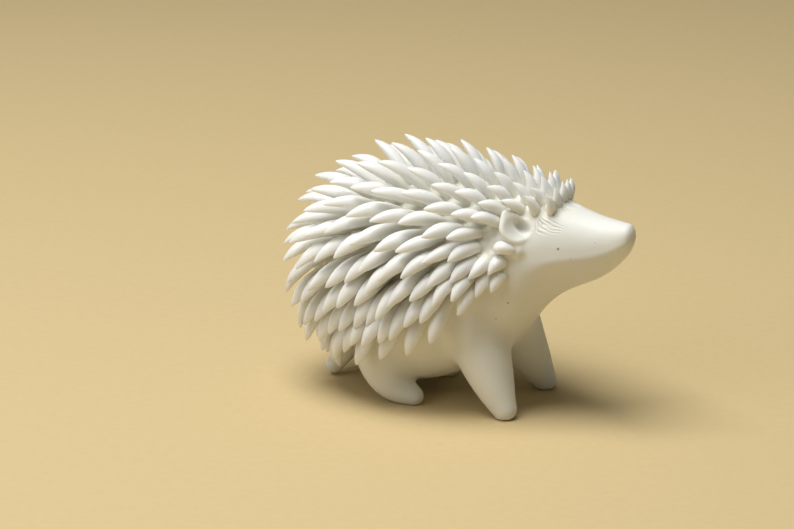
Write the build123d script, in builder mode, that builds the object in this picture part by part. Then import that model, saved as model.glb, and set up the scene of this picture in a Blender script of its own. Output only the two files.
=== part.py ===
from build123d import *
from math import atan2, cos, degrees, pi, radians, sin, sqrt
from random import Random
import os

# Hedgehog figurine: a small animal modelled in clay by hand, piece by piece.
# +X points to its nose, +Y to its left, +Z up. The origin lies on the ground, under its middle.
# All lengths are in mm. The figure has no moving parts: every piece is pressed onto the body.

os.makedirs("parts", exist_ok=True)

# Body
rump_reach = 22.1  # how far the bare rump lies behind the origin
nose_reach = 30.1  # how far the nose lies ahead of it
body_height = 35.0  # ground to the top of the bare back
body_half_width = 11.2
body_sides = 32  # flats round the body
bands_between = 2  # sections lofted for each step of section_shares

# Front legs, each a tapered cone that leans forward
front_foot_ahead = 11.3
front_foot_side = 7.7
front_foot_radius = 1.95
front_leg_height = 16.5
front_leg_radius = 5.2
front_leg_lean = 7.2  # how far the top of the leg lies behind its foot
front_leg_inset = 3.6  # how far the top lies nearer the middle than the foot
left_foot_lead = 0.7  # how far the left front foot stands ahead of the right one

# Rear legs, each a haunch that bends into a long foot
rear_toe_ahead = -4.3
rear_foot_side = 7.3
rear_toe_radius = 1.6
rear_foot_length = 6.4  # toe to heel, between their centres
haunch_height = 11.0
haunch_radius = 4.5
sole_press = 0.45  # how far each round foot is pressed flat on the ground
limb_sides = 20

# Tail stub
tail_root_ahead = -16.1
tail_root_height = 9.0
tail_root_radius = 2.5
tail_tip_ahead = -21.3
tail_tip_radius = 1.45
tail_clearance = 0.35  # from the tip down to the ground

# Ears, each a pressed cup
ear_radius = 2.45
ear_thickness = 1.2
ear_dish_radius = 1.65
ear_dish_depth = 0.7
ear_rim_share = 0.84  # where the round of the rim starts, as a share of ear_radius
ear_ahead_share = 0.663  # of the body's length from the rump
ear_height_share = 0.874  # of body_height
ear_lead = 3.2  # how far the left ear lies ahead of the right one, with the head turned
ear_sink = 0.35  # how far the back of the cup is pressed below the skin, at its middle
ear_turn = 28.0  # degrees that the cup faces forward of the skin under it
ear_stub_length = 2.9
ear_stub_width = 1.6
ear_stub_lift = 24.0  # degrees
ear_stub_drop = 3.0  # from the middle of the ear down to the root of its stub

# Quills, rolled one by one and pressed on in rows from the forehead to the rump
quill_length = 9.4  # the longest, on the back
quill_width = 2.3
quill_flatness_share = 0.72  # thickness of a quill as a share of its width
quill_pitch = 2.6  # from one quill to the next along a row on the back
quill_sides = 5
long_outline_shares = (0.62, 1.0, 0.72)  # width of a long quill at its foot and two rings
short_outline_shares = (1.0, 0.9, 0.52)  # and of a short one at the crown, more of a thorn
ring_shares = (0.0, 0.36, 0.74)  # where along a quill they are
thorn_share, grain_share = 0.45, 0.8  # lengths at which a quill is all thorn and all grain
quill_bend_share = 0.05  # how far its middle bends outwards, as a share of its length
seat_gap = 0.02  # a root stays this clear of the bare skin
hem_fall = 74.0  # degrees below the level at which the lowest quills hang
turn_power = 1.5  # how late in a row its quills turn down to the hem
lift_power = 1.4  # how soon in a row its quills lie down
hem_shortening_share = 0.07
length_play_share = 0.05
turn_play = 2.0  # degrees
lift_play = 1.2  # degrees

# Side view of the body from the rump to the nose. Each section has its place between the
# rump and the nose, its top and its bottom as shares of body_height, its half width as a
# share of body_half_width, and how far it swings to the right, as a share of that too.
section_shares = [
    (0.000, 0.600, 0.470, 0.200, 0.00),
    (0.022, 0.712, 0.350, 0.420, 0.00),
    (0.065, 0.792, 0.235, 0.600, 0.00),
    (0.140, 0.872, 0.122, 0.790, 0.00),
    (0.250, 0.948, 0.055, 0.940, 0.00),
    (0.370, 0.984, 0.070, 1.000, 0.00),
    (0.480, 0.996, 0.145, 0.975, 0.00),
    (0.570, 1.000, 0.210, 0.890, 0.01),
    (0.640, 1.000, 0.318, 0.785, 0.03),
    (0.700, 0.998, 0.450, 0.700, 0.06),
    (0.765, 0.978, 0.550, 0.600, 0.09),
    (0.840, 0.946, 0.612, 0.470, 0.13),
    (0.905, 0.928, 0.662, 0.350, 0.17),
    (0.955, 0.922, 0.730, 0.262, 0.21),
    (0.985, 0.918, 0.785, 0.190, 0.23),
    (1.000, 0.899, 0.825, 0.105, 0.24),
]

# Rows of quills. Each row arches over the back, from the hem of the coat on one side to the
# hem on the other. It has the place of its top and of its hem, as shares of the body's
# length from the rump and of body_height, then how many degrees of it stay bare on each
# side of the middle and how many it spreads to, the pitch and the length of its quills as
# shares of quill_pitch and quill_length, and the degrees that a quill lifts off the skin at
# the top and at the hem.
row_shares = [
    (0.766, 0.980, 0.670, 0.786, 0, 37, 1.00, 0.37, 84, 72),
    (0.724, 0.994, 0.642, 0.771, 0, 41, 1.08, 0.42, 78, 58),
    (0.678, 0.997, 0.613, 0.757, 0, 43, 1.00, 0.48, 74, 46),
    (0.626, 0.997, 0.584, 0.720, 0, 54, 1.00, 0.57, 70, 38),
    (0.640, 0.997, 0.634, 0.645, 66, 90, 1.25, 0.42, 40, 30),
    (0.600, 0.996, 0.598, 0.635, 64, 88, 1.15, 0.54, 36, 28),
    (0.567, 0.994, 0.559, 0.600, 0, 90, 1.00, 0.68, 64, 30),
    (0.498, 0.992, 0.527, 0.570, 0, 78, 1.00, 0.78, 63, 28),
    (0.425, 0.988, 0.494, 0.535, 0, 90, 1.00, 0.88, 62, 26),
    (0.351, 0.980, 0.460, 0.502, 0, 78, 1.00, 0.95, 60, 25),
    (0.276, 0.957, 0.425, 0.480, 0, 90, 1.04, 0.99, 58, 24),
    (0.205, 0.920, 0.391, 0.456, 0, 80, 1.00, 0.98, 56, 24),
    (0.140, 0.869, 0.356, 0.434, 0, 88, 1.02, 1.00, 53, 25),
    (0.084, 0.803, 0.322, 0.409, 0, 76, 1.02, 1.00, 50, 24),
    (0.042, 0.720, 0.289, 0.386, 0, 86, 1.04, 0.97, 45, 25),
    (0.013, 0.623, 0.259, 0.366, 0, 74, 1.10, 0.98, 38, 24),
    (0.001, 0.514, 0.230, 0.349, 0, 74, 1.12, 0.94, 31, 24),
    (0.006, 0.417, 0.205, 0.331, 0, 72, 1.30, 0.86, 25, 20),
    (0.029, 0.337, 0.182, 0.311, 18, 70, 1.70, 0.80, 22, 18),
]


def smooth(table, place):
    """The table's columns at a place between its rows, on a smooth curve through the rows."""
    row = min(int(place), len(table) - 2)
    u = place - row
    before, here = table[max(row - 1, 0)], table[row]
    there, after = table[row + 1], table[min(row + 2, len(table) - 1)]
    columns = zip(before, here, there, after)
    return [
        b + u / 2 * (c - a + u * (2 * a - 5 * b + 4 * c - d + u * (3 * (b - c) + d - a)))
        for a, b, c, d in columns
    ]


def side_view(ahead_share, height_share):
    """A point of the middle plane, from its shares of the body's length and height."""
    ahead = -rump_reach + ahead_share * (rump_reach + nose_reach)
    return Vector(ahead, 0, height_share * body_height)


with BuildPart() as body:
    for step in range((len(section_shares) - 1) * bands_between + 1):
        shares = smooth(section_shares, step / bands_between)
        ahead_share, top_share, bottom_share, width_share, swing_share = shares
        centre = side_view(ahead_share, (top_share + bottom_share) / 2)
        centre = centre + Vector(0, -swing_share * body_half_width, 0)
        half_width = width_share * body_half_width
        half_height = (top_share - bottom_share) / 2 * body_height
        turns = [2 * pi * side / body_sides for side in range(body_sides)]
        with BuildSketch(Plane(centre, x_dir=(0, 1, 0), z_dir=(1, 0, 0))):
            Polygon(*[(half_width * cos(t), half_height * sin(t)) for t in turns], align=None)
    loft(ruled=True)
body.part.label = "body"
export_step(body.part, "parts/body.step")


def flat_sided(rings, tip=None):
    """A solid with flat sides through rings of as many corners each, closed by a tip or a flat."""
    sides = len(rings[0])
    pairs = [(side, (side + 1) % sides) for side in range(sides)]
    outlines = [rings[0]]
    for low, high in zip(rings, rings[1:]):
        for i, j in pairs:
            outlines += [[low[i], low[j], high[j]], [low[i], high[j], high[i]]]
    if tip is None:
        outlines.append(rings[-1])
    else:
        outlines += [[rings[-1][i], rings[-1][j], tip] for i, j in pairs]
    return Solid(Shell([Face(Wire.make_polygon(outline)) for outline in outlines]))


def limb(name, knots):
    """A limb through knots, each a centre, a direction and a radius, cut by ground and body."""
    rings = []
    for centre, direction, radius in knots:
        plane = Plane(centre, x_dir=(0, 1, 0), z_dir=direction)
        turns = [2 * pi * side / limb_sides for side in range(limb_sides)]
        rings.append([plane.from_local_coords((radius * cos(t), radius * sin(t))) for t in turns])
    with BuildPart() as piece:
        add(flat_sided(rings))
        split(bisect_by=Plane.XY, keep=Keep.TOP)
        add(body.part, mode=Mode.SUBTRACT)
    outside = piece.part.solids().sort_by(SortBy.VOLUME)[-1]
    outside.label = name
    export_step(outside, f"parts/{name}.step")


# Knots of a limb: the share of the way from its tip to its root, and of the way from its
# tip radius to its root radius. The first ones round off the tip.
tip_shares = [(-0.92, 0.30), (-0.72, 0.66), (-0.36, 0.92), (0.0, 1.0)]


def front_leg_knots(side):
    """The knots of a front leg, from the ground up, on the side of the given sign."""
    ahead = front_foot_ahead + (left_foot_lead if side > 0 else 0)
    foot = Vector(ahead, side * front_foot_side, front_foot_radius - sole_press)
    top = foot + Vector(-front_leg_lean, -side * front_leg_inset, front_leg_height)
    up = (top - foot).normalized()
    knots = [
        (foot + up * (along * front_foot_radius), up, wide * front_foot_radius)
        for along, wide in tip_shares
    ]
    leg_shares = [(0.1, 0.18), (0.2, 0.35), (0.33, 0.54), (0.5, 0.74), (0.7, 0.9), (1.0, 0.5)]
    for along, grown in leg_shares:
        radius = front_foot_radius + grown * (front_leg_radius - front_foot_radius)
        knots.append((foot + (top - foot) * along, up, radius))
    return knots


def rear_leg_knots(side):
    """The knots of a rear leg, from the toe back along the foot and up into the haunch."""
    toe = Vector(rear_toe_ahead, side * rear_foot_side, rear_toe_radius - sole_press)
    back = Vector(-1, 0, 0)
    knots = [
        (toe + back * (along * rear_toe_radius), back, wide * rear_toe_radius)
        for along, wide in tip_shares
    ]
    bend_shares = [
        (0.34, 0.05, 0.28, 8),
        (0.66, 0.14, 0.60, 26),
        (0.86, 0.28, 0.84, 50),
        (0.92, 0.50, 1.00, 74),
        (0.84, 0.80, 0.82, 96),
        (0.76, 1.00, 0.36, 104),
    ]
    for along, risen, grown, turn in bend_shares:
        centre = toe + Vector(
            -along * rear_foot_length, -side * risen * rear_toe_radius, risen * haunch_height
        )
        direction = Vector(-cos(radians(turn)), 0, sin(radians(turn)))
        radius = rear_toe_radius + grown * (haunch_radius - rear_toe_radius)
        knots.append((centre, direction, radius))
    return knots


for side, name in ((-1, "right"), (1, "left")):
    limb(f"front_{name}_leg", front_leg_knots(side))
    limb(f"rear_{name}_leg", rear_leg_knots(side))

tail_tip = Vector(tail_tip_ahead, 0, tail_clearance + tail_tip_radius)
tail_root = Vector(tail_root_ahead, 0, tail_root_height)
tail_up = (tail_root - tail_tip).normalized()
tail_knots = [
    (tail_tip + tail_up * (along * tail_tip_radius), tail_up, wide * tail_tip_radius)
    for along, wide in tip_shares
]
tail_knots.append((tail_root, tail_up, tail_root_radius))
limb("tail", tail_knots)


def skin_seat(start, direction):
    """Where a line from inside the body leaves its skin, and the way the skin faces there."""
    point, facing = body.part.find_intersection_points(Axis(start, direction))[-1]
    return point, facing.normalized()


def quill(point, facing, along, across, length, width):
    """One quill: a flattened grain with flat sides, from a foot on the skin to a pointed tip.

    It starts at a point of the skin, which faces that way, and runs along one direction with
    its width across the other. The shorter it is, the more it is a thorn with a wide foot.
    """
    thick = along.cross(across).normalized()
    grain = (length / quill_length - thorn_share) / (grain_share - thorn_share)
    grain = min(max(grain, 0), 1)
    turns = [2 * pi * side / quill_sides for side in range(quill_sides)]
    rings = []
    for place, short, long in zip(ring_shares, short_outline_shares, long_outline_shares):
        wide = short + grain * (long - short)
        half_width, half_thickness = wide * width / 2, wide * width * quill_flatness_share / 2
        bend = 4 * place * (1 - place) * quill_bend_share
        middle = point + along * (place * length) + thick * (bend * length)
        rings.append([
            middle + across * (half_width * cos(t)) + thick * (half_thickness * sin(t))
            for t in turns
        ])
    # The sides run on from the first ring to the skin, whose plane cuts the foot off.
    for corner, (low, high) in enumerate(zip(rings[0], rings[1])):
        depth = (point + facing * seat_gap - high).dot(facing)
        rings[0][corner] = high + (low - high) * (depth / (low - high).dot(facing))
    return flat_sided(rings, tip=point + along * length)


def write_group(name, solids):
    """One node of separate solids."""
    with BuildPart() as group:
        add(solids)
    group.part.label = name
    export_step(group.part, f"parts/{name}.step")
    return len(group.part.solids())


# Half the outline of a cup: its back, its rounded rim and the way down into its dish.
ear_outline = [
    (ear_radius * ear_rim_share, 0),
    (ear_radius, ear_thickness / 2),
    (ear_radius * ear_rim_share, ear_thickness),
    (ear_dish_radius, ear_thickness - ear_dish_depth / 2),
    (ear_dish_radius / 2, ear_thickness - ear_dish_depth),
]

ear_stubs = []
for side, name, lead in ((-1, "right", 0), (1, "left", ear_lead)):
    inside = side_view(ear_ahead_share, ear_height_share) + Vector(lead, 0, 0)
    point, facing = skin_seat(inside, Vector(0, side, 0))
    facing = facing.rotate(Axis.Z, -side * ear_turn)
    cup = Plane(point - facing * ear_sink, x_dir=facing.cross(Vector(0, 0, 1)), z_dir=facing)
    turns = [2 * pi * corner / limb_sides for corner in range(limb_sides)]
    rings = []
    for wide, deep in ear_outline:
        rings.append([cup.from_local_coords((wide * cos(t), wide * sin(t), deep)) for t in turns])
    with BuildPart() as ear:
        add(flat_sided(rings, tip=cup.from_local_coords((0, 0, ear_thickness - ear_dish_depth))))
        add(body.part, mode=Mode.SUBTRACT)
    ear.part.label = f"{name}_ear"
    export_step(ear.part, f"parts/{name}_ear.step")
    # The stub under the ear points back along the neck.
    below = inside - Vector(0, 0, ear_stub_drop)
    point, facing = skin_seat(below, Vector(0, side, 0))
    back = (Vector(-1, 0, 0) - facing * Vector(-1, 0, 0).dot(facing)).normalized()
    along = back * cos(radians(ear_stub_lift)) + facing * sin(radians(ear_stub_lift))
    across = facing.cross(back).normalized()
    ear_stubs.append(quill(point, facing, along, across, ear_stub_length, ear_stub_width))
write_group("ear_stubs", ear_stubs)

chance = Random(11)  # the small differences from quill to quill that a hand makes
coat = 0
for number, row in enumerate(row_shares, start=1):
    top_ahead, top_height, hem_ahead, hem_height, bare, spread, apart, long = row[:-2]
    top_lift, hem_lift = row[-2:]
    top, hem = side_view(top_ahead, top_height), side_view(hem_ahead, hem_height)
    up, left = (top - hem).normalized(), Vector(0, 1, 0)
    high = (top - hem).length
    wide = skin_seat(hem, left)[0].Y
    fall = degrees(atan2(-up.X, up.Z))  # how far the quills of this row point down at the side
    arc = pi * sqrt((high**2 + wide**2) / 2) * (spread - bare) / 90
    count = round(arc / (apart * quill_pitch * sqrt(long)))
    # Odd and even by turns, so that the rows interlock, but as many on each side of a gap.
    count += count % 2 if bare else (count + number) % 2
    step = 2 * (spread - bare) / count
    quills = []
    for place in range(count):
        angle = (place + 1 / 2) * step - (spread - bare)
        side = 1 if angle > 0 else -1
        angle += side * bare
        # Even steps along the arch, which is an ellipse, and not in its angle
        angle += degrees((high - wide) / (high + wide) / 2 * sin(radians(2 * angle)))
        rise, swing = cos(radians(angle)), sin(radians(angle))
        point, facing = skin_seat(hem, up * (high * rise) + left * (wide * swing))
        downhill = (left * (wide * rise) - up * (high * swing)) * side
        downhill = (downhill - facing * downhill.dot(facing)).normalized()
        backward = facing.cross(downhill) * side
        out_share = abs(angle) / 90
        turn = (hem_fall - fall) * out_share**turn_power + chance.uniform(-turn_play, turn_play)
        lift = hem_lift + (top_lift - hem_lift) * (1 - out_share)**lift_power
        lift += chance.uniform(-lift_play, lift_play)
        flow = backward * cos(radians(turn)) + downhill * sin(radians(turn))
        along = flow * cos(radians(lift)) + facing * sin(radians(lift))
        grown = 1 - hem_shortening_share * out_share**2
        grown += chance.uniform(-length_play_share, length_play_share)
        length, width = grown * long * quill_length, sqrt(long) * quill_width
        quills.append(quill(point, facing, along, facing.cross(flow), length, width))
    made = write_group(f"quill_row_{number:02d}", quills)
    coat += made
    print(f"row {number}: {count} quills, {made} solids")
print(f"{coat} quills in the coat")
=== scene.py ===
import math
import random

import bmesh
import bpy
import numpy as np
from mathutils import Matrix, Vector, noise
from mathutils.bvhtree import BVHTree


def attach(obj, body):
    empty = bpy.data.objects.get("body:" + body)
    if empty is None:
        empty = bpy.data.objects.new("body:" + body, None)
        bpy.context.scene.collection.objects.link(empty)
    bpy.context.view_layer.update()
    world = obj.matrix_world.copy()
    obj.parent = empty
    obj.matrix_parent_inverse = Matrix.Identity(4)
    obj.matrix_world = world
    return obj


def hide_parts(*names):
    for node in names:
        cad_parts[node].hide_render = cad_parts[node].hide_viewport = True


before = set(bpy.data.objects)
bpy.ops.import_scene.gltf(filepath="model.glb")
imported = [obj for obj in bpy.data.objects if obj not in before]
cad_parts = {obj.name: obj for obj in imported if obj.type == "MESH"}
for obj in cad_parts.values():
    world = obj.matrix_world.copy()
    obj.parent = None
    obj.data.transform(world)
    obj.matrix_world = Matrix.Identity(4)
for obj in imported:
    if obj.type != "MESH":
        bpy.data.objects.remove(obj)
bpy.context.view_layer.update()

# The looks of a small hedgehog figurine in off-white clay. Lengths on the figure are in mm until
# a mesh is written. The view, the lamps and the floor are in metres.
MM = 0.001

# The camera looks at the point that the middle of the picture shows. The near front foot
# stands at the pixel ANCHOR of the picture.
AZIMUTH = math.radians(24.0)
ELEVATION = math.radians(17.5)
DISTANCE = 0.45  # m from the eye to the middle of the picture
MM_PER_PIXEL = 0.155
PICTURE = (794, 529)
ANCHOR = (503.0, 418.0)
foot_point = Vector((11.1, -7.75, 0.0)) * MM
toward = Vector((
    math.sin(AZIMUTH) * math.cos(ELEVATION),
    -math.cos(AZIMUTH) * math.cos(ELEVATION),
    math.sin(ELEVATION),
))
right = Vector((math.cos(AZIMUTH), math.sin(AZIMUTH), 0))
up = toward.cross(right)


def picture_point(pixel):
    """The point that a pixel shows in the plane through the foot point, square to the view."""
    across, down = pixel[0] - ANCHOR[0], pixel[1] - ANCHOR[1]
    return foot_point + (right * across - up * down) * (MM_PER_PIXEL * MM)


target = picture_point((PICTURE[0] / 2, PICTURE[1] / 2))
eye = target + toward * DISTANCE


def smooth_step(low, high, value):
    """0 below low, 1 above high, and a smooth rise between them."""
    t = np.clip((value - low) / (high - low), 0.0, 1.0)
    return t * t * (3.0 - 2.0 * t)


def soft_min(a, b, blend):
    """The lesser of two distances, rounded where they are within blend of each other."""
    h = np.maximum(blend - np.abs(a - b), 0.0) / blend
    return np.minimum(a, b) - h * h * h * blend / 6.0


def soft_max(a, b, blend):
    """The greater of two distances, rounded in the same way."""
    return -soft_min(-a, -b, blend)


def unit(v):
    return v / np.linalg.norm(v)


def between(before, here, there, after, share):
    """A smooth curve through four points, at a share of the way from the second to the third."""
    bent = 2 * before - 5 * here + 4 * there - after + share * (3 * (here - there) + after - before)
    return here + share / 2 * (there - before + share * bent)


TINY, TINIEST = 1e-9, 1e-12  # keep a distance and a weight from being divided by zero
FAR = 99.0  # mm, farther than anything on the figure
CORNERS = [(i, j, k) for i in (0, 1) for j in (0, 1) for k in (0, 1)]  # of one cell of a grid


# Material


def link(tree, source, output, target, name):
    """Joins a named output of one node to a named input of another."""
    tree.links.new(source.outputs[output], target.inputs[name])


def node(tree, kind, x, y, **settings):
    """A node at a place in the editor, with inputs and properties set by name."""
    made = tree.nodes.new(kind)
    made.location = (x, y)
    for key, value in settings.items():
        if key in made.inputs:
            made.inputs[key].default_value = value
        else:
            setattr(made, key, value)
    return made


SUBSURFACE = 0.45
CLAY_IOR = 1.47
GLOW_COLOUR = (1.0, 0.96, 0.72)  # how far red, green and blue run inside the clay, in shares
CLOUD_SHADE = 0.955  # the darker tone of the clouds against the lighter one
CLOUD_DARK, CLOUD_LIGHT = 0.3, 0.7  # the noise at which each tone is reached
SATIN_BELOW, SATIN_ABOVE = 0.08, 0.10  # how far the roughness strays
DUST_COLOUR = (0.17, 0.15, 0.13, 1)
DUST_SIZE = 0.055  # the share of its cell that a random speck fills
DUST_RARITY = 0.962  # the share of cells with no speck
DUST_STRENGTH = 0.55
SPOT_EDGE, SPOT_CORE = 1.35, 0.6  # a single speck fades out and is full at these shares of its size
SPOT_STRENGTH = 0.8
STROKE_STRETCH = (0.16, 1.0, 1.0)  # brush strokes are drawn out along the figure


def clay(name, light, painted_shade_colour, roughness, glow, spots=()):
    """Baked off-white clay: satin, slightly translucent, with handling marks and few dark specks.

    The mesh's own attribute "depth" is 1 deep between the quills, where a warmer painted shade is laid
    on the colour.
    Glow is how far light runs inside it, in mm, and thin quills let more of it through.
    Spots are places and sizes of single specks, in metres.
    """
    material = bpy.data.materials.new(name)
    material.use_nodes = True
    tree = material.node_tree
    shader = tree.nodes["Principled BSDF"]
    shader.inputs["IOR"].default_value = CLAY_IOR
    shader.inputs["Subsurface Weight"].default_value = SUBSURFACE
    shader.inputs["Subsurface Radius"].default_value = GLOW_COLOUR
    shader.inputs["Subsurface Scale"].default_value = glow * MM
    place = node(tree, "ShaderNodeTexCoord", -1500, 0)

    # Colour: cloudy tone, painted warm shade in the depths between the quills, specks of dust baked in
    cloud = node(tree, "ShaderNodeTexNoise", -1200, 300, Scale=190.0, Detail=4.0, Roughness=0.55)
    link(tree, place, "Object", cloud, "Vector")
    tone = node(tree, "ShaderNodeValToRGB", -980, 300)
    tone.color_ramp.elements[0].position = CLOUD_DARK
    tone.color_ramp.elements[0].color = (*[c * CLOUD_SHADE for c in light], 1)
    tone.color_ramp.elements[1].position = CLOUD_LIGHT
    tone.color_ramp.elements[1].color = (*light, 1)
    link(tree, cloud, "Fac", tone, "Fac")
    # Painted shade: the depth attribute lays a warmer, darker colour into the crevices between the
    # quills
    depth = node(tree, "ShaderNodeAttribute", -1200, 620, attribute_name="depth")
    painted_shade = node(tree, "ShaderNodeMix", -680, 380, data_type="RGBA")
    painted_shade.inputs["B"].default_value = (*painted_shade_colour, 1)
    link(tree, depth, "Fac", painted_shade, "Factor")
    tree.links.new(tone.outputs["Color"], painted_shade.inputs["A"])
    grain = node(tree, "ShaderNodeTexVoronoi", -1200, 20, Scale=430.0)
    link(tree, place, "Object", grain, "Vector")
    dot = node(tree, "ShaderNodeMath", -980, 60, operation="LESS_THAN")
    dot.inputs[1].default_value = DUST_SIZE
    link(tree, grain, "Distance", dot, "Value")
    pick = node(tree, "ShaderNodeSeparateColor", -980, -80)
    link(tree, grain, "Color", pick, "Color")
    rare = node(tree, "ShaderNodeMath", -800, -60, operation="GREATER_THAN")
    rare.inputs[1].default_value = DUST_RARITY
    link(tree, pick, "Red", rare, "Value")
    speck = node(tree, "ShaderNodeMath", -640, 20, operation="MULTIPLY")
    tree.links.new(dot.outputs[0], speck.inputs[0])
    tree.links.new(rare.outputs[0], speck.inputs[1])
    faint = node(tree, "ShaderNodeMath", -500, 20, operation="MULTIPLY")
    faint.inputs[1].default_value = DUST_STRENGTH
    tree.links.new(speck.outputs[0], faint.inputs[0])
    amount = faint.outputs[0]
    for count, (spot, size) in enumerate(spots):
        row = -1000 - 200 * count
        gap = node(tree, "ShaderNodeVectorMath", -1200, row, operation="DISTANCE")
        tree.links.new(place.outputs["Object"], gap.inputs[0])
        gap.inputs[1].default_value = spot
        mark = node(tree, "ShaderNodeMapRange", -980, row)
        mark.inputs["From Min"].default_value = size * SPOT_EDGE
        mark.inputs["From Max"].default_value = size * SPOT_CORE
        mark.inputs["To Max"].default_value = SPOT_STRENGTH
        link(tree, gap, "Value", mark, "Value")
        more = node(tree, "ShaderNodeMath", -760, row, operation="MAXIMUM")
        tree.links.new(amount, more.inputs[0])
        tree.links.new(mark.outputs["Result"], more.inputs[1])
        amount = more.outputs[0]
    dusty = node(tree, "ShaderNodeMix", -320, 300, data_type="RGBA")
    dusty.inputs["B"].default_value = DUST_COLOUR
    tree.links.new(amount, dusty.inputs["Factor"])
    tree.links.new(painted_shade.outputs["Result"], dusty.inputs["A"])
    tree.links.new(dusty.outputs["Result"], shader.inputs["Base Color"])

    # Satin: burnished where it was handled, matter in between
    rub = node(tree, "ShaderNodeTexNoise", -1200, -260, Scale=420.0, Detail=3.0, Roughness=0.6)
    link(tree, place, "Object", rub, "Vector")
    satin = node(tree, "ShaderNodeMapRange", -980, -260)
    satin.inputs["To Min"].default_value = roughness - SATIN_BELOW
    satin.inputs["To Max"].default_value = roughness + SATIN_ABOVE
    link(tree, rub, "Fac", satin, "Value")
    link(tree, satin, "Result", shader, "Roughness")

    # Relief: soft dents of the fingers and a fine tooth
    dents = node(tree, "ShaderNodeTexNoise", -1200, -520, Scale=330.0, Detail=2.0, Roughness=0.5)
    link(tree, place, "Object", dents, "Vector")
    tooth = node(tree, "ShaderNodeTexNoise", -1200, -760, Scale=3600.0, Detail=3.0, Roughness=0.6)
    link(tree, place, "Object", tooth, "Vector")
    soft = node(tree, "ShaderNodeBump", -640, -520, Strength=0.5, Distance=0.10 * MM)
    link(tree, dents, "Fac", soft, "Height")
    fine = node(tree, "ShaderNodeBump", -400, -620, Strength=0.35, Distance=0.012 * MM)
    link(tree, tooth, "Fac", fine, "Height")
    link(tree, soft, "Normal", fine, "Normal")
    strokes = node(tree, "ShaderNodeVectorMath", -1200, -900, operation="MULTIPLY")
    strokes.inputs[1].default_value = STROKE_STRETCH
    tree.links.new(place.outputs["Object"], strokes.inputs[0])
    brushed = node(tree, "ShaderNodeTexNoise", -980, -900, Scale=1500.0, Detail=3.0, Roughness=0.5)
    link(tree, strokes, "Vector", brushed, "Vector")
    long = node(tree, "ShaderNodeBump", -180, -700, Strength=0.4, Distance=0.03 * MM)
    link(tree, brushed, "Fac", long, "Height")
    link(tree, fine, "Normal", long, "Normal")
    link(tree, long, "Normal", shader, "Normal")
    return material


SKIN_LIGHT = (0.79, 0.79, 0.74)
# Painted shade: the warmer colour laid into the skin's crevices between the quills
SKIN_PAINTED_SHADE = (0.80, 0.78, 0.65)
SKIN_ROUGHNESS = 0.48
SKIN_GLOW = 1.2
QUILL_LIGHT = (0.85, 0.853, 0.83)
# Painted shade: the warmer colour laid on the feet of the quills
QUILL_PAINTED_SHADE = (0.85, 0.835, 0.74)
QUILL_ROUGHNESS = 0.46
QUILL_GLOW = 2.0
quill_clay = clay("quill_clay", QUILL_LIGHT, QUILL_PAINTED_SHADE, QUILL_ROUGHNESS, QUILL_GLOW)


def mesh_object(name, points, faces, depth, material):
    """A smooth-shaded piece from points in mm. Its depth attribute feeds the clay's painted warm shade
    between the quills.
    """
    mesh = bpy.data.meshes.new(name)
    mesh.from_pydata((points * MM).tolist(), [], faces)
    mesh.update()
    shade = mesh.attributes.new("depth", "FLOAT", "POINT")
    shade.data.foreach_set("value", np.asarray(depth, np.float32))
    mesh.polygons.foreach_set("use_smooth", [True] * len(mesh.polygons))
    mesh.materials.append(material)
    made = bpy.data.objects.new(name, mesh)
    bpy.context.scene.collection.objects.link(made)
    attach(made, "root")
    return made


JOIN_DECIMALS = 4  # points of the CAD that agree to this many decimals of a mm are one


def cad_points(name):
    """The corner points of a CAD node in mm, and its triangles, with doubled points joined."""
    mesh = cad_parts[name].data
    points = np.array([v.co for v in mesh.vertices], float) / MM
    _, first, which = np.unique(
        points.round(JOIN_DECIMALS), axis=0, return_index=True, return_inverse=True
    )
    which = which.ravel()
    mesh.calc_loop_triangles()
    triangles = np.array([[which[i] for i in t.vertices] for t in mesh.loop_triangles])
    return points[first], triangles


def islands(points, triangles):
    """The separate solids of a node, each as the numbers of its points."""
    owner = np.arange(len(points))

    def root(i):
        while owner[i] != i:
            owner[i] = owner[owner[i]]
            i = owner[i]
        return i

    for a, b, c in triangles:
        owner[root(a)] = root(b)
        owner[root(b)] = root(c)
    roots = np.array([root(i) for i in range(len(points))])
    return [np.flatnonzero(roots == r) for r in np.unique(roots)]


# Quills, read from the CAD


SHARP_PULL = 0.5  # radians a mm, so that of two sharp corners the one farther out is the tip
RING_COUNT = 3  # a quill of the CAD has this many rings of corners between its ends


def read_quill(points, triangles, members):
    """Foot, tip, width axis, width and thickness of one CAD quill."""
    inside = np.isin(triangles[:, 0], members)
    sharp = dict.fromkeys(members.tolist(), 0.0)
    for corner in range(3):
        here = points[triangles[inside][:, corner]]
        one = points[triangles[inside][:, (corner + 1) % 3]] - here
        two = points[triangles[inside][:, (corner + 2) % 3]] - here
        cosine = (one * two).sum(1) / (np.linalg.norm(one, axis=1) * np.linalg.norm(two, axis=1))
        for i, angle in zip(triangles[inside][:, corner], np.arccos(np.clip(cosine, -1, 1))):
            sharp[int(i)] += angle
    middle = points[members].mean(0)
    tip_number = min(
        members.tolist(), key=lambda i: sharp[i] - SHARP_PULL * np.linalg.norm(points[i] - middle)
    )
    tip = points[tip_number]
    rest = np.array([i for i in members if i != tip_number])
    order = rest[np.argsort((points[rest] - tip) @ unit(tip - middle))]
    sides = len(rest) // RING_COUNT
    foot = points[order[:sides]].mean(0)
    along = unit(tip - foot)
    ring = points[order[sides : 2 * sides]]
    ring = ring - ring.mean(0)
    ring = ring - np.outer(ring @ along, along)
    _, spread, axes = np.linalg.svd(ring)
    size = spread[:2] / math.sqrt(sides / 2) * 2
    return foot, tip, unit(axes[0]), size[0], size[1]


# Places along a quill from its foot, and its width there as a share of the full width
GRAIN_SHARES = [
    (0.00, 0.66), (0.08, 0.74), (0.18, 0.84), (0.30, 0.94), (0.42, 1.00), (0.54, 0.995),
    (0.66, 0.91), (0.77, 0.765), (0.86, 0.58), (0.93, 0.385), (0.975, 0.215), (0.995, 0.09),
]
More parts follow.
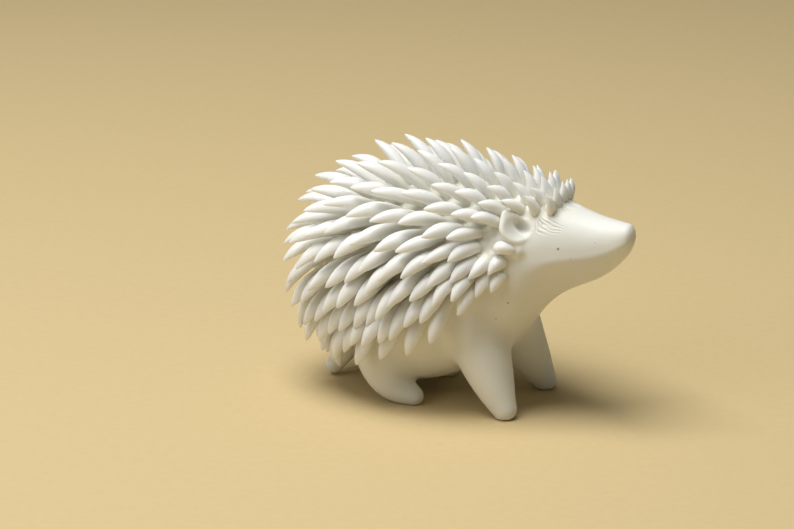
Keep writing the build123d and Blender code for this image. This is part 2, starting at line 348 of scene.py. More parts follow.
# The same for the short thorns over the brow, with a broad foot, and for the blunt stubs
THORN_SHARES = [
    (0.00, 1.10), (0.08, 1.04), (0.18, 0.99), (0.30, 0.93), (0.42, 0.85), (0.54, 0.75),
    (0.66, 0.62), (0.77, 0.475), (0.86, 0.33), (0.93, 0.20), (0.975, 0.11), (0.995, 0.05),
]
STUB_SHARES = [
    (0.00, 0.90), (0.08, 0.93), (0.18, 0.97), (0.30, 1.00), (0.42, 1.02), (0.54, 1.03),
    (0.66, 1.01), (0.77, 0.96), (0.86, 0.85), (0.93, 0.66), (0.975, 0.43), (0.995, 0.20),
]
THORN_LENGTH, GRAIN_LENGTH = 4.0, 7.0  # mm, a shorter one is all thorn, a longer one all grain
GRAIN_SIDES = 16
GRAIN_WIDER = 1.15  # the round grain against the flat-sided one
THORN_WIDER = 0.50  # how much wider again a thorn is
THORN_SHORTER = 0.10  # and how much shorter
STUB_WIDER = 1.22
HOOK_START, HOOK_SHARE = 0.55, 0.04  # the tip bends in from here on, by this share of the length
STUB_SUNK = 0.6  # mm, more of a stub is hidden in the neck
SUNK = 0.35  # how far the foot goes on below the skin, in mm
SUNK_SHARE = 0.95  # how wide it is there, against the foot
FIGURE_MIDDLE = np.array([2.0, 0.0, 17.0])  # mm, a quill's outer side faces away from it
CURL, CURL_SPREAD = 0.06, 0.03  # the bends of a quill are shares of its length
SWAY_SPREAD = 0.03
SAG_LEAST, SAG_MOST = 0.02, 0.06
ROLL_SPREAD = 0.2  # radians
PLUMP_SPREAD = 0.06  # a share of the width
OUTER_POWER, INNER_POWER = 1.55, 2.3  # 2 is an ellipse, less is nearer to a ridge
ROOT_SHARE, STUB_ROOT_SHARE = 0.18, 0.33  # radius of the skin's swelling at the foot
PAINTED_SHADE_FROM, PAINTED_SHADE_TO = -0.05, 0.5  # along a quill, between these the painted warm shade at its foot fades out to white
FRONT_ROWS = ("quill_row_01", "quill_row_02", "quill_row_03")  # these stand at the hairline


def thorn_share(length):
    """1 for a quill that is all thorn, 0 for one that is all grain."""
    return 1 - smooth_step(THORN_LENGTH, GRAIN_LENGTH, length)


def grain(foot, tip, across, width, thick, chance, stub):
    """The points and faces of one smooth, slightly bent grain."""
    thorn = 0.0 if stub else thorn_share(np.linalg.norm(tip - foot))
    tip = tip - (tip - foot) * THORN_SHORTER * thorn
    length = np.linalg.norm(tip - foot)
    outline = [
        (place, blunt if stub else wide + thorn * (broad - wide))
        for (place, wide), (_, broad), (_, blunt) in zip(GRAIN_SHARES, THORN_SHARES, STUB_SHARES)
    ]
    along = (tip - foot) / length
    across = unit(across - along * (across @ along))
    out = np.cross(along, across)
    if out @ (tip - FIGURE_MIDDLE) < 0:
        out = -out
    # It curls back towards the skin in its middle part and leans a little to one side.
    curl = (CURL + chance.uniform(-CURL_SPREAD, CURL_SPREAD)) * length
    droop = across * across[2] + out * out[2]
    sway = chance.uniform(-SWAY_SPREAD, SWAY_SPREAD) * length
    sag = chance.uniform(SAG_LEAST, SAG_MOST) * length
    roll = chance.uniform(-ROLL_SPREAD, ROLL_SPREAD)
    plump = 1 + chance.uniform(-PLUMP_SPREAD, PLUMP_SPREAD)
    hook = 0.0 if stub else HOOK_SHARE * length
    # A softly pressed section, full below and drawn up to a soft ridge on its outer side
    turns = np.arange(GRAIN_SIDES) * 2 * math.pi / GRAIN_SIDES
    ca, sa = np.cos(turns), np.sin(turns)
    power = np.where(sa > 0, OUTER_POWER, INNER_POWER)
    fuller = (np.abs(ca) ** power + np.abs(sa) ** power) ** (-1 / power)
    a = across * math.cos(roll) + out * math.sin(roll)
    b = out * math.cos(roll) - across * math.sin(roll)
    wider = GRAIN_WIDER * (1 + THORN_WIDER * thorn)
    rings, shares = [], []
    for place, wide in [(-SUNK / length, outline[0][1] * SUNK_SHARE)] + outline:
        arch = 4 * place * (1 - place) if place > 0 else 0.0
        middle = foot + along * (place * length)
        bent = (max(place - HOOK_START, 0.0) / (1 - HOOK_START)) ** 2
        middle = middle + (out * curl + across * sway + droop * sag) * arch - out * hook * bent
        half_a = wide * width * wider * plump / 2
        half_b = wide * thick * wider / 2
        rings.append(middle + np.outer(half_a * ca * fuller, a) + np.outer(half_b * sa * fuller, b))
        shares += [place] * GRAIN_SIDES
    points = np.vstack(rings + [foot - along * SUNK, tip - out * hook])
    shares += [0.0, 1.0]
    faces = []
    for ring in range(len(rings) - 1):
        for side in range(GRAIN_SIDES):
            i, j = ring * GRAIN_SIDES + side, ring * GRAIN_SIDES + (side + 1) % GRAIN_SIDES
            faces.append((i, j, j + GRAIN_SIDES, i + GRAIN_SIDES))
    last = (len(rings) - 1) * GRAIN_SIDES
    for side in range(GRAIN_SIDES):
        ahead = (side + 1) % GRAIN_SIDES
        faces.append((ahead, side, len(points) - 2))
        faces.append((last + side, last + ahead, len(points) - 1))
    if np.cross(along, across) @ out < 0:
        faces = [face[::-1] for face in faces]
    return points, faces, shares


quill_roots, front_feet = [], []
SEED = 5
chance = random.Random(SEED)
quill_nodes = sorted(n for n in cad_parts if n.startswith("quill_row_") or n == "ear_stubs")
for name in quill_nodes:
    points, triangles = cad_points(name)
    all_points, all_faces, all_painted_shade, count = [], [], [], 0
    for members in islands(points, triangles):
        foot, tip, across, width, thick = read_quill(points, triangles, members)
        stub = name == "ear_stubs"
        if stub:
            width = thick = width * STUB_WIDER
            foot = foot - unit(tip - foot) * STUB_SUNK
        length = np.linalg.norm(tip - foot)
        round_root = width * STUB_ROOT_SHARE if stub else (width + thick) * ROOT_SHARE
        quill_roots.append((foot, unit(tip - foot), round_root, thorn_share(length), length))
        if name in FRONT_ROWS:
            front_feet.append(foot)
        made, faces, shares = grain(foot, tip, across, width, thick, chance, stub)
        all_points.append(made)
        all_faces += [tuple(i + count for i in face) for face in faces]
        # Painted shade at the foot of each quill, fading out along it
        all_painted_shade.append(1 - smooth_step(PAINTED_SHADE_FROM, PAINTED_SHADE_TO, np.array(shares)))
        count += len(made)
    piece = mesh_object(
        name.replace("quill_row", "quills").replace("ear_stubs", "neck_stubs"),
        np.vstack(all_points),
        all_faces,
        np.concatenate(all_painted_shade),
        quill_clay,
    )
    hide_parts(name)


# Skin: body, legs, tail and ears, smoothed into one another as in the clay


FULL_RING = 30  # a section of the CAD body has at least this many corners
RING_DECIMALS = 2  # sections are told apart to this many decimals of a mm
RING_SLACK = 0.02  # mm along the body between corners of one section
SECTION_CUTS = 8  # the curve between two sections has this many steps
SECTION_STEP = 0.25  # mm
SECTION_SOFTNESS = 1.2  # mm along the body over which its sections are evened out
SNOUT_KEPT = 5.0  # mm from the tip of the snout over which they are left more and more alone
END_ROUND = 1.6  # mm over which the two ends of the body are rounded off


def body_sections():
    """Place, middle, half width and half height of each section of the CAD body, and finer."""
    points, _ = cad_points("body")
    places = np.unique(points[:, 0].round(RING_DECIMALS))
    rows = []
    for place in places:
        ring = points[np.abs(points[:, 0] - place) < RING_SLACK]
        if len(ring) < FULL_RING:
            continue
        low, high = ring.min(0), ring.max(0)
        rows.append((place, *((low + high) / 2)[1:], *((high - low) / 2)[1:]))
    rows = np.array(rows)
    fine = []
    for i in range(len(rows) - 1):
        before, after = rows[max(i - 1, 0)], rows[min(i + 2, len(rows) - 1)]
        here, there = rows[i], rows[i + 1]
        for u in np.arange(SECTION_CUTS) / SECTION_CUTS:
            fine.append(between(before, here, there, after, u))
    fine = np.array(fine + [rows[-1]])
    x = np.linspace(fine[0, 0], fine[-1, 0], round((fine[-1, 0] - fine[0, 0]) / SECTION_STEP))
    even = np.stack([np.interp(x, fine[:, 0], column) for column in fine.T], 1)
    reach = round(3 * SECTION_SOFTNESS / SECTION_STEP)
    weights = np.exp(-((np.arange(-reach, reach + 1) * SECTION_STEP / SECTION_SOFTNESS) ** 2) / 2)
    padded = np.pad(even, ((reach, reach), (0, 0)), mode="reflect", reflect_type="odd")
    weights = weights / weights.sum()
    soft = np.stack([np.convolve(column, weights, "valid") for column in padded.T], 1)
    return even + smooth_step(0.0, SNOUT_KEPT, x[-1] - x)[:, None] * (soft - even)


SECTIONS = body_sections()


# The jaw: a soft ridge runs along the head a little below its middle, and what lies under it is
# drawn in. Both are shares of the half width and grow from the neck to the snout.
JAW_START, JAW_FULL = 13.0, 19.0  # mm along the body
JAW_TUCK, JAW_RIDGE = 0.22, 0.035
RIDGE_FALL, RIDGE_WIDTH = 0.12, 0.17  # shares of the half height
TUCK_OVERLAP = 0.1  # how far above the ridge's middle the tuck starts


def body_distance(p):
    """Distance to the body's oval sections, with the jaw drawn in."""
    x = np.clip(p[:, 0], SECTIONS[0, 0], SECTIONS[-1, 0])
    mid_y, mid_z, half_y, half_z = (
        np.interp(x, SECTIONS[:, 0], SECTIONS[:, i]) for i in (1, 2, 3, 4)
    )
    y, z = p[:, 1] - mid_y, p[:, 2] - mid_z
    fall = -z / half_z
    ridge = JAW_RIDGE * np.exp(-(((fall - RIDGE_FALL) / RIDGE_WIDTH) ** 2))
    tuck = JAW_TUCK * smooth_step(RIDGE_FALL - TUCK_OVERLAP, 1.0, fall)
    half_y = half_y * (1 + smooth_step(JAW_START, JAW_FULL, x) * (ridge - tuck))
    reach = np.sqrt((y / half_y) ** 2 + (z / half_z) ** 2) + TINY
    radius = np.sqrt(y * y + z * z) / reach
    radial = (reach - 1) * np.minimum(radius, np.hypot(y, z) + np.minimum(half_y, half_z))
    ends = np.maximum(p[:, 0] - SECTIONS[-1, 0], SECTIONS[0, 0] - p[:, 0])
    return soft_max(radial, ends, END_ROUND)


def curved(knots, steps=5):
    """The knots of a limb with more between them, on a smooth curve through them."""
    rows = np.array([(*point, radius) for point, radius in knots])
    rows = np.vstack([2 * rows[0] - rows[1], rows, 2 * rows[-1] - rows[-2]])
    finer = []
    for before, here, there, after in zip(rows, rows[1:], rows[2:], rows[3:]):
        for u in np.arange(steps) / steps:
            finer.append(between(before, here, there, after, u))
    finer.append(rows[-2])
    return [(row[:3], row[3]) for row in finer]


def chain_distance(p, knots):
    """Distance to a chain of round cones. Each knot is a point and a radius."""
    nearest = np.full(len(p), np.inf)
    for (a, ra), (b, rb) in zip(knots, knots[1:]):
        a, b = np.array(a), np.array(b)
        d = b - a
        t = np.clip((p - a) @ d / (d @ d), 0, 1)
        reach = np.linalg.norm(p - a - t[:, None] * d, axis=1) - (ra + t * (rb - ra))
        nearest = np.minimum(nearest, reach)
    return nearest


def limb_distance(p, knots, reach):
    """Distance to a limb, worked out only within reach of it."""
    places = np.array([point for point, _ in knots])
    span = reach + max(radius for _, radius in knots)
    close = ((p > places.min(0) - span) & (p < places.max(0) + span)).all(1)
    distance = np.full(len(p), FAR)
    distance[close] = chain_distance(p[close], knots)
    return distance


# Lengths of the legs and the tail are in mm. A side is -1 for the right and 1 for the left.
FRONT_FOOT = (11.3, 7.7, 1.5)
LEFT_AHEAD = 0.7  # the left front foot is set down this much farther ahead
FRONT_RUN = (-7.2, -3.6, 16.5)  # from the foot up into the chest
FRONT_BOW = 0.8  # how far the leg bows back between the two
FRONT_RADII = [  # at shares of the run
    (0, 1.95), (0.1, 2.5), (0.2, 3.08), (0.33, 3.7), (0.5, 4.35), (0.7, 4.87),
]
REAR_TOE = (-4.3, 7.3, 1.15)
REAR_BACK, REAR_INWARD, REAR_HEIGHT = 6.4, 1.6, 11.0
REAR_BENDS = [  # shares of the way back and of the height, and the radius there
    (0, 0, 1.65), (0.32, 0.06, 2.2), (0.60, 0.17, 2.85), (0.79, 0.34, 3.55),
    (0.88, 0.56, 4.2), (0.84, 0.80, 3.9),
]


def front_leg(side):
    """Points and radii of a front leg from its foot up."""
    ahead, aside, height = FRONT_FOOT
    foot = np.array([ahead + (LEFT_AHEAD if side > 0 else 0.0), side * aside, height])
    run = np.array([FRONT_RUN[0], side * FRONT_RUN[1], FRONT_RUN[2]])
    return [
        (foot + run * share - np.array([FRONT_BOW * 4 * share * (1 - share), 0, 0]), radius)
        for share, radius in FRONT_RADII
    ]


def rear_leg(side):
    """Points and radii of a rear leg from its toe back along the foot and up the haunch."""
    toe = np.array([REAR_TOE[0], side * REAR_TOE[1], REAR_TOE[2]])
    return [
        (toe + np.array([-back * REAR_BACK, -side * risen * REAR_INWARD, risen * REAR_HEIGHT]), radius)
        for back, risen, radius in REAR_BENDS
    ]


TAIL = [((-21.3, 0, 1.8), 1.45), ((-16.1, 0, 9.0), 2.5)]  # points and radii of its two ends
LIMBS_CLOSE = 9.0  # mm from a limb within which the skin heeds it
LEG_BLEND = 3.2  # mm over which a leg runs into the belly
HAUNCH_BLEND = 4.2
TAIL_BLEND = 2.0
LIMBS = [(TAIL, TAIL_BLEND)]
for side in (-1, 1):
    LIMBS += [(curved(front_leg(side)), LEG_BLEND), (curved(rear_leg(side)), HAUNCH_BLEND)]


EAR_LEAN = 17.0  # degrees that the front of a cup is pressed in further, and its back stands off


def ear_frame(name):
    """Middle of a cupped ear, and its axes: out of the cup, forward and up along its rim."""
    points, _ = cad_points(name)
    middle = (points.min(0) + points.max(0)) / 2
    _, _, axes = np.linalg.svd(points - points.mean(0))
    facing = axes[2]
    side = -1.0 if name.startswith("right") else 1.0
    if facing[1] * side < 0:
        facing = -facing
    forward = unit(np.array([1.0, 0.0, 0.0]) - facing[0] * facing)
    upward = np.cross(facing, forward) * -side
    lean = math.radians(EAR_LEAN)
    leant = facing * math.cos(lean) + forward * math.sin(lean)
    forward = forward * math.cos(lean) - facing * math.sin(lean)
    return middle, leant, forward, upward


EARS = [ear_frame("right_ear"), ear_frame("left_ear")]
EAR_RADIUS = 2.45
EAR_ROUND = 0.5  # radius of its rim
EAR_HALF = 0.66  # half its thickness
# The outline is drawn out to a corner up and back, and flattened along its upper front edge.
CORNER_SHARE, CORNER_TURN, CORNER_WIDTH = 0.32, 2.35, 0.36
FLAT_SHARE, FLAT_TURN, FLAT_WIDTH = 0.22, 1.05, 0.60
DISH_RADIUS, DISH_DEPTH = 2.05, 0.50
DISH_FORWARD = 0.25
HOLLOW_MIDDLE = (1.05, 0.50, 0.30)  # forward, up and out from the middle of the ear
HOLLOW_RADII = (1.30, 0.80, 1.15)  # along its own slant, across it and deep
HOLLOW_SLANT = math.radians(-28.0)
# mm over which edges and joins are rounded
DISH_EDGE = 0.3
HOLLOW_BLEND = 0.5
EAR_BLEND = 0.9
CUP_EDGE = 0.25
SOLE_EDGE = 0.25


def in_ear(p, middle, facing, forward, upward):
    """Points as heights out of the cup, and places forward and up along its rim."""
    q = p - middle
    return q @ facing, q @ forward, q @ upward


def ear_distance(p, ear):
    """A flat leaf with a soft rim."""
    high, ahead, above = in_ear(p, *ear)
    turn = np.arctan2(above, ahead)
    radius = EAR_RADIUS * (
        1
        + CORNER_SHARE * np.exp(-(((turn - CORNER_TURN) / CORNER_WIDTH) ** 2))
        - FLAT_SHARE * np.exp(-(((turn - FLAT_TURN) / FLAT_WIDTH) ** 2))
    )
    out = np.hypot(ahead, above) - (radius - EAR_ROUND)
    thick = np.abs(high) - (EAR_HALF - EAR_ROUND)
    disc = np.hypot(np.maximum(out, 0), np.maximum(thick, 0)) - EAR_ROUND
    return disc + np.minimum(np.maximum(out, thick), 0)


def cup_distance(p, ear):
    """What is pressed into an ear: a broad shallow dish, and a deep hollow at its front."""
    high, ahead, above = in_ear(p, *ear)
    ball = (DISH_RADIUS**2 + DISH_DEPTH**2) / (2 * DISH_DEPTH)
    raised = high - (EAR_HALF - DISH_DEPTH + ball)
    aside = np.hypot(ahead - DISH_FORWARD, above)
    dish = soft_max(np.hypot(aside, raised) - ball, aside - DISH_RADIUS, DISH_EDGE)
    ahead, above, high = (v - m for v, m in zip((ahead, above, high), HOLLOW_MIDDLE))
    along = ahead * math.cos(HOLLOW_SLANT) + above * math.sin(HOLLOW_SLANT)
    aslant = above * math.cos(HOLLOW_SLANT) - ahead * math.sin(HOLLOW_SLANT)
    scaled = [v / r for v, r in zip((along, aslant, high), HOLLOW_RADII)]
    reach = np.sqrt(sum(v * v for v in scaled)) + TINY
    slope = np.sqrt(sum((v / r) ** 2 for v, r in zip(scaled, HOLLOW_RADII))) + TINY
    return soft_min(dish, reach * (reach - 1) / slope, HOLLOW_BLEND)


def skin_distance(p):
    """Distance to the smoothed figure without its quills, cut off flat at the ground."""
    d = body_distance(p)
    for knots, blend in LIMBS:
        d = soft_min(d, limb_distance(p, knots, LIMBS_CLOSE), blend)
    for ear in EARS:
        d = soft_min(d, ear_distance(p, ear), EAR_BLEND)
        d = soft_max(d, -cup_distance(p, ear), CUP_EDGE)
    return soft_max(d, -p[:, 2], SOLE_EDGE)


BLOCK = 4  # cells
GRID_MARGIN, GRID_SIDE, GRID_FLOOR, GRID_TOP = 2.0, 14.0, -1.0, 37.5  # mm
NEAR_SHARE = 2.4  # of a block's diagonal, within which the skin counts as near
BATCH = 400000  # points that are worked out at a time


def skin_field(cell):
    """The distance on a grid, worked out only in the blocks that the skin passes through."""
    low = np.array([SECTIONS[0, 0] - GRID_MARGIN, -GRID_SIDE, GRID_FLOOR])
    high = np.array([SECTIONS[-1, 0] + GRID_MARGIN, GRID_SIDE, GRID_TOP])
    counts = np.ceil((high - low) / (cell * BLOCK)).astype(int)
    rough_axes = [low[i] + np.arange(counts[i] + 1) * cell * BLOCK for i in range(3)]
    rough = np.stack(np.meshgrid(*rough_axes, indexing="ij"), -1)
    value = skin_distance(rough.reshape(-1, 3)).reshape(rough.shape[:3])
    near = np.abs(value) < NEAR_SHARE * cell * BLOCK * math.sqrt(3)
    active = np.zeros(counts, bool)
    for i, j, k in CORNERS:
        active |= near[i : i + counts[0], j : j + counts[1], k : k + counts[2]]
    fine_counts = counts * BLOCK + 1
    wanted = np.zeros(fine_counts, bool)
    spread = np.repeat(np.repeat(np.repeat(active, BLOCK, 0), BLOCK, 1), BLOCK, 2)
    for i, j, k in CORNERS:
        end = [n - 1 + s for n, s in zip(fine_counts, (i, j, k))]
        wanted[i : end[0], j : end[1], k : end[2]] |= spread
    field = np.empty(fine_counts, np.float32)
    steps = [np.minimum((np.arange(n) + BLOCK // 2) // BLOCK, c) for n, c in zip(fine_counts, counts)]
    field[:] = value[np.ix_(*steps)]
    places = np.argwhere(wanted)
    for start in range(0, len(places), BATCH):
        part = places[start : start + BATCH]
        field[tuple(part.T)] = skin_distance(low + part * cell)
    return low, field


ROOT_BLEND, THORN_BLEND = 0.7, 0.7  # mm, and how much more round a thorn
ROOT_RISE, THORN_RISE = 0.5, 0.32  # mm up a quill, and as a share of a thorn's length
THORN_SWELL = 0.75  # how much wider the swelling is at a thorn's foot
ROOT_MARGIN = 2.2  # mm round a root within which the skin heeds it
ROOT_BELOW = 0.2  # mm that a root starts below the foot
ROOT_TAPER = 0.9  # its radius at its upper end, against a grain's


def root_fillets(low, cell, field):
    """Draws the skin up round the foot of each quill, a little at a grain and more at a thorn."""
    for foot, along, radius, thorn, length in quill_roots:
        rise = ROOT_RISE + THORN_RISE * thorn * length
        reach = ROOT_MARGIN + rise
        first = np.maximum(((foot - reach - low) / cell).astype(int), 0)
        last = np.minimum(((foot + reach - low) / cell).astype(int) + 1, field.shape)
        axes = [low[i] + np.arange(first[i], last[i]) * cell for i in range(3)]
        p = np.stack(np.meshgrid(*axes, indexing="ij"), -1)
        shape = p.shape[:3]
        wide = radius * (1 + THORN_SWELL * thorn)
        ends = [(foot - along * ROOT_BELOW, wide), (foot + along * rise, radius * ROOT_TAPER)]
        root = chain_distance(p.reshape(-1, 3), ends).reshape(shape)
        box = tuple(slice(a, b) for a, b in zip(first, last))
        field[box] = soft_min(field[box], root, ROOT_BLEND + THORN_BLEND * thorn)
    return field


def surface_net(low, cell, field):
    """A smooth quad mesh of the surface where a distance field is zero."""
    inside = field < 0
    shape = np.array(field.shape) - 1

    def part(array, corner):
        return array[tuple(slice(c, c + n) for c, n in zip(corner, shape))]

    total = sum(part(inside, c).astype(np.int8) for c in CORNERS)
    crossed = np.argwhere((total > 0) & (total < len(CORNERS)))
    number = np.full(shape, -1, np.int64)
    number[tuple(crossed.T)] = np.arange(len(crossed))
    values = {c: part(field, c)[tuple(crossed.T)].astype(float) for c in CORNERS}
    sums, hits = np.zeros((len(crossed), 3)), np.zeros(len(crossed))
    for c in CORNERS:
        for axis in range(3):
            if c[axis]:
                continue
            e = tuple(v + (a == axis) for a, v in enumerate(c))
            one, two = values[c], values[e]
            cross = (one < 0) != (two < 0)
            t = np.where(cross, one / np.where(cross, one - two, 1.0), 0.0)
            at = np.tile(np.array(c, float), (len(crossed), 1))
            at[:, axis] = t
            sums[cross] += at[cross]
            hits[cross] += 1
    points = low + (crossed + sums / hits[:, None]) * cell
    faces = []
    for axis in range(3):
        u, v = (axis + 1) % 3, (axis + 2) % 3
        a = inside[tuple(slice(0, -1) if i == axis else slice(1, -1) for i in range(3))]
        b = inside[tuple(slice(1, None) if i == axis else slice(1, -1) for i in range(3))]
        for flip, change in ((False, a & ~b), (True, ~a & b)):
            at = np.argwhere(change)
            at[:, u] += 1
            at[:, v] += 1
            quad = []
            for du, dv in ((0, 0), (1, 0), (1, 1), (0, 1)):
                cell_at = at.copy()
                cell_at[:, u] -= du
                cell_at[:, v] -= dv
                quad.append(number[tuple(cell_at.T)])
            quad = np.stack(quad, 1)
            faces.append(quad[:, ::-1] if flip else quad)
    return points, np.vstack(faces)


EASE_IN, EASE_OUT = 0.5, -0.52  # shares of the way towards the neighbours
EASE_ROUNDS = 3


def relaxed(points, faces):
    """Each point moved towards its neighbours and back a little less, which keeps the volume."""
    pairs = np.vstack([faces[:, [0, 1]], faces[:, [1, 2]], faces[:, [2, 3]], faces[:, [3, 0]]])
    pairs = np.vstack([pairs, pairs[:, ::-1]])
    weight = np.bincount(pairs[:, 0], minlength=len(points))
    for amount in (EASE_IN, EASE_OUT) * EASE_ROUNDS:
        mean = np.stack(
            [np.bincount(pairs[:, 0], points[pairs[:, 1], i], len(points)) for i in range(3)], 1
        )
        points = points + amount * (mean / weight[:, None] - points)
    return points


# The brow is combed: fine grooves start between the first quills, run down round the head there
# and then turn forward over the brow
COMBED_BACK, COMBED_AHEAD = -1.6, 4.0  # where the grooves start and end, from the hairline
COMBED_TURN = 1.1  # radians round the head from the top, past which there are none
COMBED_BEND = 0.42  # radians that a groove comes down before it runs forward
COMBED_MARGIN, TURN_MARGIN = 0.3, 0.1  # mm and radians round the combed skin, made finer too
COMBED_CUTS = 2  # in each edge there
HEAD_RADIUS = 7.5  # mm where it is combed
HAIR_SPREAD = 0.16  # radians over which the feet of the first quills are evened
HAIR_FOREMOST = 1.2  # a mm, how much more the foremost feet count
HAIR_FLOOR = 20.0  # keeps the weights of the feet in range
BEND_FADE = 1.1  # mm over which a groove turns forward
GROOVE_PITCH = 0.62
GROOVE_DEPTH = 0.12
GROOVE_SHARPNESS = 1.5
LIP_SHARE = 0.35  # height of the raised clay between grooves, against their depth
GROOVE_DRIFT = 1.5  # how far the grooves wander, in pitches
DRIFT_SCALE = 0.45
PATCH_SCALE = (0.35, 0.9, 0.9)
PATCH_CONTRAST, PATCH_LEAST, PATCH_MOST = 2.4, 0.1, 1.9
FADE_BACK = 0.8  # mm over which the grooves grow at the back
FADE_AHEAD = 1.2  # mm ahead of the hairline where they start to run out
FADE_ASIDE = 0.35  # radians over which they run out at the sides
EAR_GAP, EAR_FADE = 0.2, 0.8  # mm from an ear where the grooves start and are full


def turned(points):
    """The turn of each point round the head from the top."""
    mid_y, mid_z = (np.interp(points[:, 0], SECTIONS[:, 0], SECTIONS[:, i]) for i in (1, 2))
    return np.arctan2(points[:, 1] - mid_y, points[:, 2] - mid_z)


def hairline(turn):
    """How far ahead the first quills stand at a turn, from their own feet."""
    feet = np.array(front_feet)
    turns = turned(feet)
    aside = (turn[:, None] - turns) / HAIR_SPREAD
    weight = np.exp(-(aside**2) + feet[:, 0] * HAIR_FOREMOST - HAIR_FLOOR)
    return (weight * feet[:, 0]).sum(1) / (weight.sum(1) + TINIEST)


def hair_place(points):
    """How far each point lies ahead of the hairline, and its turn round the head from the top."""
    turn = turned(points)
    return points[:, 0] - hairline(turn), turn


def finer_forehead(points, faces):
    """The mesh with its faces on the combed brow cut into nine."""
    ahead, turn = hair_place(points)
    chosen = (
        (ahead > COMBED_BACK - COMBED_MARGIN)
        & (ahead < COMBED_AHEAD + COMBED_MARGIN)
        & (np.abs(turn) < COMBED_TURN + TURN_MARGIN)
    )
    build = bmesh.new()
    corners = [build.verts.new(p) for p in points]
    for face in faces:
        build.faces.new([corners[i] for i in face])
    build.verts.index_update()
    edges = [e for e in build.edges if all(chosen[v.index] for v in e.verts)]
    bmesh.ops.subdivide_edges(build, edges=edges, cuts=COMBED_CUTS, use_grid_fill=True)
    build.verts.index_update()
    points = np.array([v.co for v in build.verts])
    faces = [tuple(v.index for v in f.verts) for f in build.faces]
    build.free()
    return points, faces


def combed(points, faces):
    """The points with the grooves pressed in. Each groove bends up to the quills at its back."""
    ahead, turn = hair_place(points)
    near = (ahead > COMBED_BACK) & (ahead < COMBED_AHEAD) & (np.abs(turn) < COMBED_TURN)
    p, a, t = points[near], ahead[near], turn[near]
    drift = np.array([noise.noise(Vector(q) * DRIFT_SCALE) for q in p])
    patch = np.array([noise.noise(Vector(q * PATCH_SCALE)) for q in p])
    swept = np.abs(t) + COMBED_BEND * np.exp(-(a - COMBED_BACK) / BEND_FADE)
    phase = swept * HEAD_RADIUS / GROOVE_PITCH + GROOVE_DRIFT * drift
    wave = np.sin(2 * math.pi * phase)
    groove = -np.maximum(wave, 0) ** GROOVE_SHARPNESS + LIP_SHARE * np.maximum(-wave, 0)
    fade = smooth_step(COMBED_BACK, COMBED_BACK + FADE_BACK, a)
    fade = fade * (1 - smooth_step(FADE_AHEAD, COMBED_AHEAD, a))
    fade = fade * (1 - smooth_step(COMBED_TURN - FADE_ASIDE, COMBED_TURN, np.abs(t)))
    off_ear = np.minimum(*(ear_distance(p, ear) for ear in EARS))
    fade = fade * smooth_step(EAR_GAP, EAR_FADE, off_ear)
    depth = GROOVE_DEPTH * fade * np.clip(1 + PATCH_CONTRAST * patch, PATCH_LEAST, PATCH_MOST)
    mesh = bpy.data.meshes.new("probe")
    mesh.from_pydata(points.tolist(), [], faces)
    normals = np.zeros(len(points) * 3)
    mesh.vertex_normals.foreach_get("vector", normals)
    normals = normals.reshape(-1, 3)
    bpy.data.meshes.remove(mesh)
    points = points.copy()
    points[near] += normals[near] * (groove * depth)[:, None]
    return points


CELL, QUICK_CELL = 0.25, 0.4  # mm
cell = CELL
low, field = skin_field(cell)
field = root_fillets(low, cell, field)
points, faces = surface_net(low, cell, field)
points = relaxed(points, faces)
points[:, 2] = np.maximum(points[:, 2], 0.0)
points, faces = finer_forehead(points, faces)
points = combed(points, faces)

# How near each point is to the foot of a quill, for the painted warm shade there
COAT_NEAR, COAT_FAR = 0.8, 2.6  # mm
COAT_PAINTED_SHADE = 0.6
coat = np.full(len(points), FAR)
for foot, *_ in quill_roots:
    coat = np.minimum(coat, np.linalg.norm(points - foot, axis=1))
# Painted shade on the skin round each quill foot
depth = COAT_PAINTED_SHADE * (1 - smooth_step(COAT_NEAR, COAT_FAR, coat))

# Single specks, by their pixels in the picture, and their radii in mm
SPECKS = [
    ((542, 224), 0.13), ((558, 249), 0.19), ((554, 215), 0.09), ((508, 303), 0.15),
    ((496, 319), 0.10), ((595, 243), 0.07), ((571, 259), 0.08),
]
tree = BVHTree.FromPolygons((points * MM).tolist(), faces)
spots = []
for pixel, size in SPECKS:
    found = tree.ray_cast(eye, picture_point(pixel) - eye)[0]
    if found:
        spots.append((found, size * MM))
skin_clay = clay("skin_clay", SKIN_LIGHT, SKIN_PAINTED_SHADE, SKIN_ROUGHNESS, SKIN_GLOW, spots)
skin = mesh_object("skin", points, faces, depth, skin_clay)
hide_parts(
    "body", "front_right_leg", "front_left_leg", "rear_right_leg", "rear_left_leg",
    "tail", "right_ear", "left_ear",
)


# Floor, light and camera


FLOOR_HALF = 1.5  # m
FLOOR_ROUGHNESS = 0.9
SAND_DARK = (0.59, 0.455, 0.235, 1)
SAND_LIGHT = (0.64, 0.495, 0.26, 1)
WORLD_COLOUR = (0.92, 1.0, 0.95, 1)
WORLD_STRENGTH = 0.10
AIM = Vector((0, 0, 0.018))  # m, the lamps shine on this point
# Lamps: m to the right of the figure, towards the camera and up, size in m, watts and colour
KEY = (-0.14, 0.05, 0.60, 0.36, 4.25, (1.0, 0.99, 0.97))
FILL = (-0.50, 0.32, 0.44, 0.45, 1.0, (0.98, 0.99, 1.0))
SENSOR = 36.0  # mm
CLIP_START = 0.01  # m

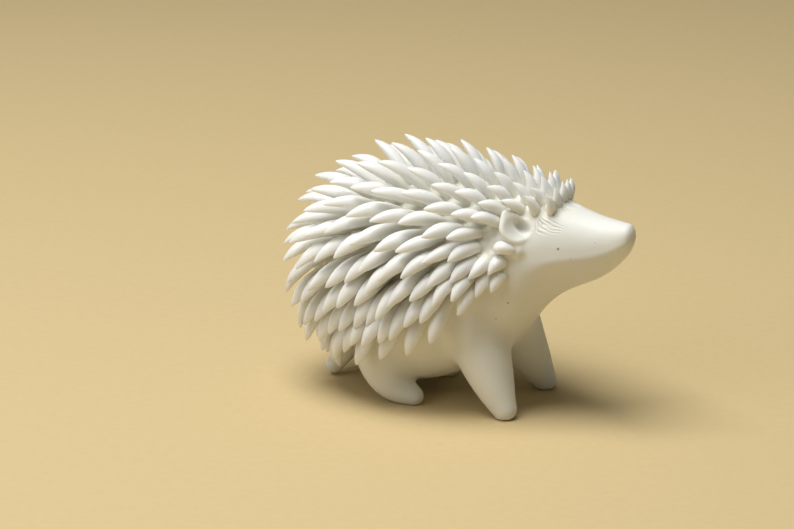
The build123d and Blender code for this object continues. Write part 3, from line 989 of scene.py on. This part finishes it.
floor_corners = [
    (across * FLOOR_HALF, along * FLOOR_HALF, 0)
    for across, along in ((-1, -1), (1, -1), (1, 1), (-1, 1))
]
floor_mesh = bpy.data.meshes.new("floor")
floor_mesh.from_pydata(floor_corners, [], [(0, 1, 2, 3)])
floor = bpy.data.objects.new("floor", floor_mesh)
bpy.context.scene.collection.objects.link(floor)
floor_paint = bpy.data.materials.new("floor_paint")
floor_paint.use_nodes = True
paint = floor_paint.node_tree
floor_shader = paint.nodes["Principled BSDF"]
floor_shader.inputs["Roughness"].default_value = FLOOR_ROUGHNESS
place = node(paint, "ShaderNodeTexCoord", -900, 0)
mottle = node(paint, "ShaderNodeTexNoise", -700, 0, Scale=700.0, Detail=4.0)
link(paint, place, "Object", mottle, "Vector")
sand = node(paint, "ShaderNodeValToRGB", -450, 0)
sand.color_ramp.elements[0].color = SAND_DARK
sand.color_ramp.elements[1].color = SAND_LIGHT
link(paint, mottle, "Fac", sand, "Fac")
link(paint, sand, "Color", floor_shader, "Base Color")
floor_mesh.materials.append(floor_paint)

world = bpy.data.worlds.new("world")
bpy.context.scene.world = world
world.use_nodes = True
sky = world.node_tree.nodes["Background"]
sky.inputs["Color"].default_value = WORLD_COLOUR
sky.inputs["Strength"].default_value = WORLD_STRENGTH
level = Vector((toward.x, toward.y, 0)).normalized()


def area_light(name, aside, ahead, height, size, power, colour):
    """A square soft light that shines on the figure from its place beside the view."""
    lamp = bpy.data.lights.new(name, "AREA")
    lamp.size = size
    lamp.energy = power
    lamp.color = colour
    made = bpy.data.objects.new(name, lamp)
    made.location = right * aside + level * ahead + Vector((0, 0, height))
    made.rotation_euler = (AIM - made.location).to_track_quat("-Z", "Y").to_euler()
    bpy.context.scene.collection.objects.link(made)


area_light("key", *KEY)
area_light("fill", *FILL)

camera_data = bpy.data.cameras.new("camera")
camera = bpy.data.objects.new("camera", camera_data)
bpy.context.scene.collection.objects.link(camera)
camera.location = eye
camera.rotation_euler = (-toward).to_track_quat("-Z", "Y").to_euler()
camera_data.sensor_width = SENSOR
camera_data.lens = SENSOR * (DISTANCE / MM / MM_PER_PIXEL) / PICTURE[0]
camera_data.clip_start = CLIP_START
bpy.context.scene.camera = camera
bpy.context.scene.view_settings.view_transform = "Standard"
